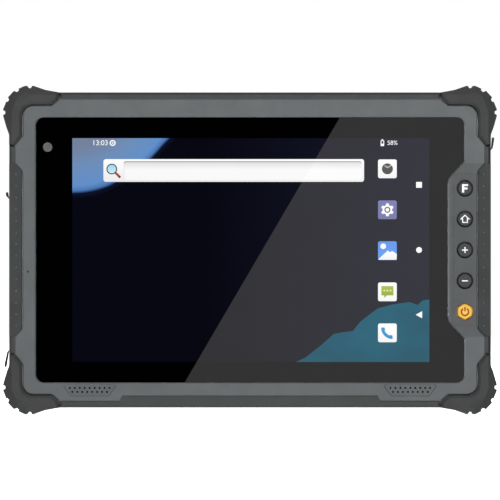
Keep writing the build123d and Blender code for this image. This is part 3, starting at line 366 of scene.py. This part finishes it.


# Dark caps darken towards their rims and turn near black there: painted shade and a painted shadow of the
# gap round each key.
CAP_DARK_PAINTED_RIM_SHADE = [(0.0, colour(52, 55, 58)), (0.8, colour(47, 50, 53)), (0.86, grey(8)), (1.0, grey(4))]
# The amber cap darkens from its middle towards its rim as painted shade.
CAP_AMBER_PAINTED_RIM_SHADE = [(0.0, colour(255, 224, 96)), (0.72, colour(255, 210, 76)), (0.86, colour(244, 178, 52)),
             (0.97, colour(206, 128, 30))]
finishes = {
    # The bezel's key panel is a painted shade darker.
    "bezel_plastic": bezel_with_painted_panel_shade("satin_grey_plastic", colour(99, 103, 105), colour(105, 109, 111),
                            (0.72, 0.72, 0.73, 1.0), 0.5),
    "case_plastic": moulded("dark_case_plastic", colour(64, 66, 67), colour(67, 69, 70), 0.5,
                            Specular_IOR_Level=0.3),
    "guard_rubber": moulded("guard_rubber", grey(67), colour(72, 73, 74), 0.62, 0.0005, 0.00006,
                            Specular_IOR_Level=0.25),
    # The grip's pale stud tips are a painted highlight.
    "grip_rubber": studded_with_painted_highlight("grip_rubber", colour(63, 65, 66), colour(69, 71, 72), grey(112),
                           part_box("side_grip_left")[0].y, 0.3 * MM),
    "cover_rubber": moulded("port_cover_rubber", grey(36), grey(42), 0.66, 0.0005, 0.00006),
    "cover_glass": pane("cover_glass", WHITE, False),
    "camera_glass": pane("camera_window_glass", (0.55, 0.56, 0.58, 1.0), True),
    "display": moulded("panel_black", grey(5), grey(8), 0.3),
    "key_plastic": moulded("key_plastic", colour(60, 63, 66), colour(66, 69, 73), 0.42, 0.0003, 0.00002),
    "power_key_plastic": key_cap("amber_key_plastic", "key_power", CAP_AMBER_PAINTED_RIM_SHADE, 4.1, 0.34),
    "seal_rubber": moulded("seal_foam", grey(16), grey(24), 0.85, 0.0002, 0.00005),
    "battery_plastic": moulded("battery_plastic", colour(55, 56, 58), colour(58, 59, 61), 0.52),
    "latch_plastic": moulded("latch_plastic", grey(40), grey(46), 0.45),
    "magnesium": metal("die_cast_magnesium", grey(168), grey(190), 0.5, size=0.0008),
    "circuit_board": circuit_board("circuit_board"),
    "shield_steel": metal("sheet_steel", grey(178), grey(200), 0.32, (6.0, 1.0, 1.0)),
    "copper": metal("rolled_copper", colour(190, 112, 80), colour(214, 136, 100), 0.3, (8.0, 1.0, 1.0)),
    "screw_steel": metal("black_zinc_steel", grey(70), grey(92), 0.36),
    "brass": metal("turned_brass", colour(196, 158, 92), colour(222, 186, 118), 0.3, (1.0, 5.0, 1.0)),
    "socket_steel": metal("socket_steel", grey(176), grey(200), 0.28, (1.0, 5.0, 1.0)),
    "black_plastic": moulded("black_plastic", grey(24), grey(32), 0.5),
    "ceramic": moulded("antenna_ceramic", colour(206, 198, 178), colour(220, 212, 194), 0.6),
}
acoustic_mesh = metal("acoustic_mesh", grey(6), grey(16), 0.5, size=0.0002)

for subpart in frame["record"]["subparts"]:
    node = frame["nodes"][subpart["node"]]
    node.data.materials.clear()
    node.data.materials.append(finishes[subpart["material_slot"]])
frame["nodes"]["speaker_meshes"].data.materials[0] = acoustic_mesh
frame["nodes"]["front_camera"].data.materials[0] = moulded("camera_grey", grey(92), grey(100), 0.5)
for key in ("key_function", "key_home", "key_plus", "key_minus"):
    frame["nodes"][key].data.materials[0] = key_cap(f"{key}_cap", key, CAP_DARK_PAINTED_RIM_SHADE, 3.6, 0.42)


# ---------------------------------------------------------------- pieces

def carry(piece, material, body):
    """Gives a new piece its material and its body."""
    piece.data.materials.clear()
    piece.data.materials.append(material)
    bpy.context.scene.collection.objects.link(piece)
    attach(piece, body)
    return piece


def prism(name, outline, front, back, material, body="tablet", holes=()):
    """A flat solid between two depths in metres, from an outline and holes in millimetres."""
    shape = bmesh.new()
    edges = []
    for loop in (outline, *holes):
        corners = [shape.verts.new((x * MM, front, MIDDLE + z * MM)) for x, z in loop]
        edges += [shape.edges.new(pair) for pair in zip(corners, corners[1:] + corners[:1])]
    bmesh.ops.triangle_fill(shape, edges=edges, use_beauty=True)
    grown = bmesh.ops.extrude_face_region(shape, geom=shape.faces[:])
    moved = [v for v in grown["geom"] if isinstance(v, bmesh.types.BMVert)]
    bmesh.ops.translate(shape, verts=moved, vec=(0, back - front, 0))
    bmesh.ops.recalc_face_normals(shape, faces=shape.faces[:])
    mesh = bpy.data.meshes.new(name)
    shape.to_mesh(mesh)
    shape.free()
    return carry(bpy.data.objects.new(name, mesh), material, body)


def arc(x, z, radius, start, end, steps):
    """Points along an arc, with angles in degrees from the right, counter-clockwise."""
    angles = [math.radians(start + (end - start) * n / steps) for n in range(steps + 1)]
    return [(x + radius * math.cos(a), z + radius * math.sin(a)) for a in angles]


def circle(x, z, radius, steps=40):
    return arc(x, z, radius, 0, 360, steps)[:-1]


def rounded(x, z, width, height, radius):
    """A rectangle with round corners, about its middle."""
    reach_x = width / 2 - radius
    reach_z = height / 2 - radius
    quarters = [(1, 1, 0), (-1, 1, 90), (-1, -1, 180), (1, -1, 270)]
    return [point for side, end, start in quarters
            for point in arc(x + side * reach_x, z + end * reach_z, radius, start, start + 90, 6)]


def box(x, z, width, height):
    return [(x - width / 2, z - height / 2), (x + width / 2, z - height / 2),
            (x + width / 2, z + height / 2), (x - width / 2, z + height / 2)]


def grow(points, amount):
    """A counter-clockwise outline with each side moved out by an amount, or in where it is negative."""
    grown = []
    for before, here, after in zip(points[-1:] + points[:-1], points, points[1:] + points[:1]):
        first = Vector((here[0] - before[0], here[1] - before[1])).normalized()
        second = Vector((after[0] - here[0], after[1] - here[1])).normalized()
        normal = Vector((first.y + second.y, -first.x - second.x)).normalized()
        reach = amount / max(0.3, normal.dot(Vector((second.y, -second.x))))
        grown.append((here[0] + normal.x * reach, here[1] + normal.y * reach))
    return grown


def shifted(points, x, z):
    return [(x + px, z + pz) for px, pz in points]


def text(name, words, x, z, size, front, material):
    """Plain digits, centred, as a thin solid."""
    curve = bpy.data.curves.new(name, "FONT")
    curve.body = words
    curve.size = size * MM
    curve.align_x = "CENTER"
    curve.align_y = "CENTER"
    curve.extrude = LAYER / 2
    maker = bpy.data.objects.new(name + "_maker", curve)
    bpy.context.scene.collection.objects.link(maker)
    maker.location = (x * MM, front + LAYER / 2, MIDDLE + z * MM)
    maker.rotation_euler = (math.pi / 2, 0, 0)
    bpy.context.view_layer.update()
    mesh = bpy.data.meshes.new_from_object(maker.evaluated_get(bpy.context.evaluated_depsgraph_get()))
    mesh.transform(maker.matrix_world)
    bpy.data.objects.remove(maker)
    bpy.data.curves.remove(curve)
    mesh.name = name
    return carry(bpy.data.objects.new(name, mesh), material, "tablet")


# Screen, from the printed border and the wallpaper forward
GLASS_BACK = glass_high.y
SHEET_FRONT = GLASS_BACK - PRINT_GAP
SCENERY = SHEET_FRONT - LAYER
BASE = SCENERY - LAYER
UPPER = BASE - LAYER
TOP = UPPER - LAYER


def glass_outline(inset):
    """The cover glass seen from the front, cut back at the key panel."""
    x = (glass_high.x - glass_low.x) / 2 / MM - inset
    z = (glass_high.z - glass_low.z) / 2 / MM - inset
    side = x - GLASS_RADIUS
    end = z - GLASS_RADIUS
    turn = x - NOTCH_DEPTH + NOTCH_RADIUS
    points = arc(side, -end, GLASS_RADIUS, 270, 360, 6)
    points += [(x, -NOTCH_HALF)] + arc(turn, -NOTCH_STRAIGHT, NOTCH_RADIUS, 225, 180, 6)
    points += arc(turn, NOTCH_STRAIGHT, NOTCH_RADIUS, 180, 135, 6) + [(x, NOTCH_HALF)]
    points += arc(side, end, GLASS_RADIUS, 0, 90, 6)
    points += arc(-side, end, GLASS_RADIUS, 90, 180, 6)
    points += arc(-side, -end, GLASS_RADIUS, 180, 270, 6)
    return points


camera_low, camera_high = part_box("front_camera")
camera_x = (camera_low.x + camera_high.x) / 2 / MM
camera_z = ((camera_low.z + camera_high.z) / 2 - MIDDLE) / MM
ink, ink_tree, ink_shader = new_material("printed_ink")
glazed(ink_shader)
ink_tones = [(0.3, (0.0002, 0.0002, 0.0002, 1.0)), (0.7, (0.0006, 0.0006, 0.0006, 1.0))]
ink_tree.links.new(ramp(ink_tree, noise(ink_tree, 0.01), ink_tones), ink_shader.inputs["Base Color"])
lit_area = box(SCREEN_X, 0, 2 * half_w, 2 * half_h)
prism("printed_border", glass_outline(INK_INSET), SHEET_FRONT, SHEET_FRONT + SHEET, ink,
      holes=[lit_area, circle(camera_x, camera_z, CAMERA_HOLE)])
prism("screen_wallpaper", lit_area, SHEET_FRONT, SHEET_FRONT + SHEET, wallpaper("screen_wallpaper"))
screen_right = SCREEN_X + half_w
hills = [(22.0, -53.8), (screen_right, -53.8), (screen_right, -23.8), (83.0, -24.2), (80.6, -26.4),
         (76.5, -25.0), (68.5, -26.2), (61.4, -28.0), (55.8, -32.2), (52.8, -34.6), (49.4, -38.9),
         (44.0, -39.6), (40.3, -40.3), (33.6, -46.2), (26.4, -51.8)]
prism("screen_hills", hills, SCENERY, SHEET_FRONT, hills_material("screen_hills"))

white = lit("screen_white", grey(255), grey(250), 45.0, -45.0)
BAR_X, BAR_Z, BAR_W, BAR_H = -7.8, 38.2, 125.2, 10.9
prism("search_bar", rounded(BAR_X, BAR_Z, BAR_W, BAR_H, 1.2), BASE, SCENERY,
      lit("search_bar_frame", grey(255), grey(238), BAR_Z + 5, BAR_Z - 5))
FIELD_X, FIELD_W = -3.5, 114.4
prism("search_field_shade", rounded(FIELD_X, BAR_Z, FIELD_W, 8.9, 1.0), UPPER, BASE,
      lit("search_field_shade", grey(150), grey(232), BAR_Z + 4.4, BAR_Z + 2.8))
prism("search_field", rounded(FIELD_X + 0.15, BAR_Z - 0.25, FIELD_W - 0.5, 8.4, 0.9), TOP, UPPER,
      lit("search_field", grey(224), grey(250), BAR_Z + 4, BAR_Z + 0.5))
lens_x, lens_z = -66.4, 38.9
lens = circle(lens_x, lens_z, 2.05)
prism("search_lens_ring", circle(lens_x, lens_z, 2.6), UPPER, BASE,
      lit("lens_ring", grey(90), grey(60), 42, 36), holes=[lens])
prism("search_lens", lens, UPPER, BASE,
      lit("lens_blue", colour(150, 212, 242), colour(208, 240, 250), 41, 37))
handle = [(1.35, -2.15), (2.15, -1.35), (4.5, -3.7), (3.7, -4.5)]
prism("search_handle", shifted(handle, lens_x, lens_z), UPPER, BASE,
      lit("lens_handle", colour(176, 92, 74), colour(104, 44, 34), 37.5, 34.5))

STATUS_Z = 51.4
RING_X = -66.0
CHARGE_X = 63.6
text("clock_digits", "13:03", -72.0, STATUS_Z, 3.5, BASE, white)
prism("status_ring", circle(RING_X, STATUS_Z, 1.45), BASE, SCENERY, white,
      holes=[circle(RING_X, STATUS_Z, 0.85)])
prism("status_dot", circle(RING_X, STATUS_Z, 0.4, 20), BASE, SCENERY, white)
text("charge_digits", "58%", 68.4, STATUS_Z, 3.0, BASE, white)
prism("charge_case", rounded(CHARGE_X, 51.3, 1.7, 2.8, 0.4), BASE, SCENERY, white,
      holes=[rounded(CHARGE_X, 51.7, 0.9, 1.3, 0.2)])
prism("charge_cap", box(CHARGE_X, 53.0, 0.8, 0.4), BASE, SCENERY, white)

NAV_X = 81.2
prism("overview_glyph", rounded(NAV_X, 31.3, 2.8, 2.8, 0.15), BASE, SCENERY, white)
prism("home_glyph", circle(NAV_X, 0.0, 1.4), BASE, SCENERY, white)
prism("back_glyph", shifted([(-1.6, 0.0), (1.5, -1.7), (1.5, 1.7)], NAV_X, -31.1), UPPER, BASE, white)

ICON = 9.0
ICON_X = 66.0
icon_heights = {"clock": 39.0, "settings": 19.3, "pictures": -0.3, "messages": -20.1, "calls": -39.8}
icon_colours = {
    "clock": (grey(255), grey(244)),
    "settings": (colour(122, 124, 176), colour(116, 118, 168)),
    "pictures": (colour(96, 150, 236), colour(102, 156, 240)),
    "messages": (grey(255), grey(244)),
    "calls": (grey(255), grey(244)),
}
for label, z in icon_heights.items():
    shades = icon_colours[label]
    prism(f"icon_{label}", rounded(ICON_X, z, ICON, ICON, 0.9), BASE, SCENERY,
          lit(f"icon_{label}", *shades, z + ICON / 2, z - ICON / 2))

dark_grey = lit("glyph_grey", grey(84), grey(74), 42, 36)
clock_z = icon_heights["clock"]
prism("icon_clock_face", circle(ICON_X, clock_z, 2.65), UPPER, BASE, dark_grey)
hands = [(-1.5, 1.35), (-1.1, 1.65), (0.05, 0.85), (1.9, 1.95), (2.1, 1.6), (0.05, 0.3)]
prism("icon_clock_hands", shifted(hands, ICON_X, clock_z), TOP, UPPER,
      lit("glyph_pale", grey(205), grey(190), 42, 36))

gear_z = icon_heights["settings"]
teeth = []
for tooth in range(6):
    middle = 90 + 60 * tooth
    teeth += arc(ICON_X, gear_z, 3.1, middle - 12, middle + 12, 2)
    teeth += arc(ICON_X, gear_z, 2.3, middle + 19, middle + 41, 2)
ring = circle(ICON_X, gear_z, 1.45)
hub = circle(ICON_X, gear_z, 0.9)
prism("icon_gear", teeth, UPPER, BASE, white, holes=[ring])
prism("icon_gear_ring", ring, UPPER, BASE, lit("gear_ring", grey(86), grey(80), 22, 16), holes=[hub])
prism("icon_gear_hub", hub, UPPER, BASE, white)

picture_z = icon_heights["pictures"]
peaks = [(-4.4, -4.4), (4.4, -4.4), (4.55, -1.6), (2.3, -0.2), (1.2, -0.8), (0.2, 0.1), (-4.2, -4.0)]
prism("icon_peaks", shifted(peaks, ICON_X, picture_z), UPPER, BASE,
      lit("peak_white", grey(255), grey(240), 0, -5))
prism("icon_sun", circle(ICON_X - 2.0, picture_z + 2.1, 1.35), UPPER, BASE, white)

message_z = icon_heights["messages"]
bubble = [(-2.9, -1.7), (-1.5, -1.7), (-1.5, -2.9), (-0.3, -1.7), (2.9, -1.7), (2.9, 2.8), (-2.9, 2.8)]
prism("icon_bubble", shifted(bubble, ICON_X, message_z), UPPER, BASE,
      lit("bubble_green", colour(172, 196, 74), colour(140, 164, 56), -17, -23))
for n in (-1, 0, 1):
    prism(f"icon_bubble_dot_{n + 2}", circle(ICON_X + 1.5 * n, message_z + 0.6, 0.45, 20), TOP, UPPER,
          lit(f"bubble_dot_{n + 2}", colour(236, 244, 170), colour(226, 236, 150), -17, -23))

call_z = icon_heights["calls"]
outer_arc = arc(2.5, 2.6, 5.6, 180, 270, 8)
inner_arc = arc(2.5, 2.6, 4.1, 262, 188, 8)
handset = ([(-2.9, 2.6)] + outer_arc[1:-1] + [(2.5, -3.0), (2.5, -1.3), (0.9, -0.9)] + inner_arc[1:-1]
           + [(-1.0, 1.0), (-1.3, 2.6)])
prism("icon_handset", shifted(handset, ICON_X, call_z), UPPER, BASE,
      lit("handset_blue", colour(52, 158, 214), colour(40, 142, 200), call_z + 3, call_z - 3))


# Key symbols, raised a little from their caps and riding on the keys
SYMBOL_PROUD = 0.05 * MM
SYMBOL_ROOT = 0.10 * MM
# The white print glows a little, though no lamp is in it: painted light.
print_white_painted_glow = moulded("symbol_white_painted_glow", grey(246), grey(255), 0.5, 0.0003, 0.00001, Emission_Color=grey(255),
                      Emission_Strength=0.25)
print_orange = moulded("symbol_orange", colour(196, 64, 4), colour(206, 74, 8), 0.45, 0.0003, 0.00001,
                       Specular_IOR_Level=0.1)


def symbol(name, key, outline, material, holes=()):
    """A symbol on the front of a key, with its outline about the key's middle."""
    low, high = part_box(key)
    x = (low.x + high.x) / 2 / MM
    z = ((low.z + high.z) / 2 - MIDDLE) / MM
    return prism(name, shifted(outline, x, z), low.y - SYMBOL_PROUD, low.y + SYMBOL_ROOT, material, key,
                 [shifted(hole, x, z) for hole in holes])


letter_f = [(-1.4, -2.0), (-0.35, -2.0), (-0.35, -0.5), (1.2, -0.5), (1.2, 0.4), (-0.35, 0.4),
            (-0.35, 1.1), (1.5, 1.1), (1.5, 2.0), (-1.4, 2.0)]
symbol("symbol_function", "key_function", letter_f, print_white_painted_glow)
house = [(0.0, 2.0), (-2.05, 0.05), (-1.2, 0.05), (-1.2, -1.6), (1.2, -1.6), (1.2, 0.05), (2.05, 0.05)]
symbol("symbol_home", "key_home", grow(house, 0.16), print_white_painted_glow, [grow(house, -0.3)])
ARM, HALF = 1.4, 0.27
plus = [(-HALF, -ARM), (HALF, -ARM), (HALF, -HALF), (ARM, -HALF), (ARM, HALF), (HALF, HALF), (HALF, ARM),
        (-HALF, ARM), (-HALF, HALF), (-ARM, HALF), (-ARM, -HALF), (-HALF, -HALF)]
symbol("symbol_plus", "key_plus", plus, print_white_painted_glow)
symbol("symbol_minus", "key_minus", box(0, 0, 2.8, 0.56), print_white_painted_glow)
power_arc = arc(0, -0.1, 2.1, 120, 420, 30) + arc(0, -0.1, 1.35, 420, 120, 30)
symbol("symbol_power_arc", "key_power", power_arc, print_orange)
symbol("symbol_power_bar", "key_power", box(0, 1.2, 0.75, 2.1), print_orange)


# Back: ribs beside the battery, a blank plate on it, and arrows that show which way the latches slide
RIB_PROUD = 0.5 * MM
RIB_COUNT = 4
RIB_PITCH = 4.2
RIB_FROM_BATTERY = 8.5
RIB_WIDTH = 1.6
RIB_HEIGHT = 76.0
RIB_RADIUS = 0.78
RIB_Z = -6.0
PLATE_WIDTH = 74.0
PLATE_HEIGHT = 26.0
PLATE_RADIUS = 2.0
PLATE_PROUD = 0.2 * MM
ARROW_PROUD = 0.15 * MM
ARROW_DROP = 3.4
ROOT = 0.3 * MM
cover_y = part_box("rear_cover")[1].y
battery_low, battery_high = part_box("battery_pack")
battery_x = battery_high.x / MM
battery_z = ((battery_low.z + battery_high.z) / 2 - MIDDLE) / MM
for side, side_name in ((-1, "right"), (1, "left")):
    for n in range(RIB_COUNT):
        x = side * (battery_x + RIB_FROM_BATTERY + RIB_PITCH * n)
        prism(f"rear_rib_{side_name}_{n + 1}", rounded(x, RIB_Z, RIB_WIDTH, RIB_HEIGHT, RIB_RADIUS),
              cover_y - ROOT, cover_y + RIB_PROUD, finishes["case_plastic"])
prism("battery_plate", rounded(0.0, battery_z, PLATE_WIDTH, PLATE_HEIGHT, PLATE_RADIUS),
      battery_high.y - ROOT, battery_high.y + PLATE_PROUD, finishes["battery_plastic"])
arrow = [(0.0, 1.6), (-1.8, -0.8), (1.8, -0.8)]
for side_name in ("left", "right"):
    latch_low, latch_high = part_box(f"battery_latch_{side_name}")
    x = (latch_low.x + latch_high.x) / 2 / MM
    z = (latch_high.z - MIDDLE) / MM - ARROW_DROP
    prism(f"latch_arrow_{side_name}", shifted(arrow, x, z), latch_high.y - ROOT, latch_high.y + ARROW_PROUD,
          print_white_painted_glow, f"battery_latch_{side_name}")


# ---------------------------------------------------------------- stage

def stage_mesh(name, points, material):
    """A flat sheet that belongs to the stage and not to the tablet."""
    mesh = bpy.data.meshes.new(name)
    mesh.from_pydata(points, [], [list(range(len(points)))])
    mesh.materials.append(material)
    piece = bpy.data.objects.new(name, mesh)
    bpy.context.scene.collection.objects.link(piece)
    return piece


def floor_material():
    """Pale paper, brighter than the light on it, and white towards its edges."""
    material, tree, shader = new_material("pale_floor")
    tone = ramp(tree, noise(tree, 0.4), [(0.0, grey(236)), (1.0, grey(240))])
    tree.links.new(tone, shader.inputs["Base Color"])
    shader.inputs["Roughness"].default_value = 1.0
    shader.inputs["Specular IOR Level"].default_value = 0.0
    shader.inputs["Emission Color"].default_value = WHITE
    away = add(tree, "ShaderNodeVectorMath", {0: object_place(tree)}, operation="LENGTH")
    glow = spread(tree, away.outputs["Value"], FLOOR_GLOW, 1.0, FLOOR_WHITE_FROM, FLOOR_WHITE_AT)
    tree.links.new(glow, shader.inputs["Emission Strength"])
    return material


def emitter(name, strength):
    """A surface that only shines."""
    material, tree, _ = new_material(name)
    tree.nodes.clear()
    glow = add(tree, "ShaderNodeEmission", {"Strength": strength})
    add(tree, "ShaderNodeOutputMaterial", {"Surface": glow.outputs[0]})
    return material


def softbox(name, place, size, power):
    """A square studio light that faces the tablet and that the camera doesn't see."""
    data = bpy.data.lights.new(name, "AREA")
    data.shape = "SQUARE"
    data.size = size
    data.energy = power
    light = bpy.data.objects.new(name, data)
    light.location = place
    light.rotation_euler = (TARGET - Vector(place)).to_track_quat("-Z", "Y").to_euler()
    light.visible_camera = False
    bpy.context.scene.collection.objects.link(light)


half_floor = FLOOR_SIZE / 2
floor = stage_mesh("floor", [(x * half_floor, y * half_floor, -FLOOR_GAP)
                             for x, y in ((-1, -1), (1, -1), (1, 1), (-1, 1))], floor_material())
floor.visible_glossy = False
floor.visible_diffuse = False
floor.visible_shadow = False

# A slanted card before the tablet, which the camera doesn't see and the screen mirrors on its right half.
# Its corners are given in millimetres on the glass, where their reflections show.
reflected = (1 + CARD_DISTANCE / CAMERA_DISTANCE) * MM
card_corners = [(x * reflected, glass_low.y - CARD_DISTANCE, MIDDLE + z * reflected)
                for x, z in ((-146.3, -260.0), (300.0, -260.0), (300.0, 130.0), (82.0, 130.0))]
card = stage_mesh("reflected_card", card_corners, emitter("reflected_card", CARD_STRENGTH))
card.visible_camera = False
card.visible_diffuse = False
card.visible_shadow = False

softbox("front", (0.16, -2.4, 0.75), 0.9, 40.0)
softbox("above", (0.0, -0.5, 1.7), 1.0, 4.0)
softbox("below", (0.0, -0.5, -1.5), 1.0, 12.0)
softbox("strip_left", (-2.2, -0.2, MIDDLE), 0.3, 5.0)
softbox("back_left", (-1.2, 1.7, 0.8), 1.2, 32.0)
softbox("back_right", (1.2, 1.7, 0.9), 1.2, 40.0)

# The room is white to the camera. Its walls light the tablet faintly, all but the one it faces.
world = bpy.data.worlds.new("studio")
world.use_nodes = True
bpy.context.scene.world = world
room = world.node_tree
room.nodes.clear()
direction = add(room, "ShaderNodeTexCoord").outputs["Generated"]
axes = add(room, "ShaderNodeSeparateXYZ", {"Vector": direction})
strength = spread(room, axes.outputs["Y"], 0.0, WALL_STRENGTH, -0.985, -0.75)
walls = add(room, "ShaderNodeBackground", {"Color": WHITE, "Strength": strength})
backdrop = add(room, "ShaderNodeBackground", {"Color": WHITE, "Strength": 1.0})
seen = add(room, "ShaderNodeLightPath").outputs["Is Camera Ray"]
both = add(room, "ShaderNodeMixShader", {0: seen, 1: walls.outputs[0], 2: backdrop.outputs[0]})
add(room, "ShaderNodeOutputWorld", {"Surface": both.outputs[0]})

camera_data = bpy.data.cameras.new("camera")
camera_data.sensor_width = SENSOR
camera_data.lens = SENSOR * CAMERA_DISTANCE / VIEW_WIDTH
camera_data.clip_start = 0.05
camera_data.clip_end = 50.0
camera = bpy.data.objects.new("camera", camera_data)
camera.location = (0, FRONT - CAMERA_DISTANCE, MIDDLE)
camera.rotation_euler = (math.pi / 2, 0, 0)
bpy.context.scene.collection.objects.link(camera)
bpy.context.scene.camera = camera
bpy.context.scene.view_settings.view_transform = "Standard"
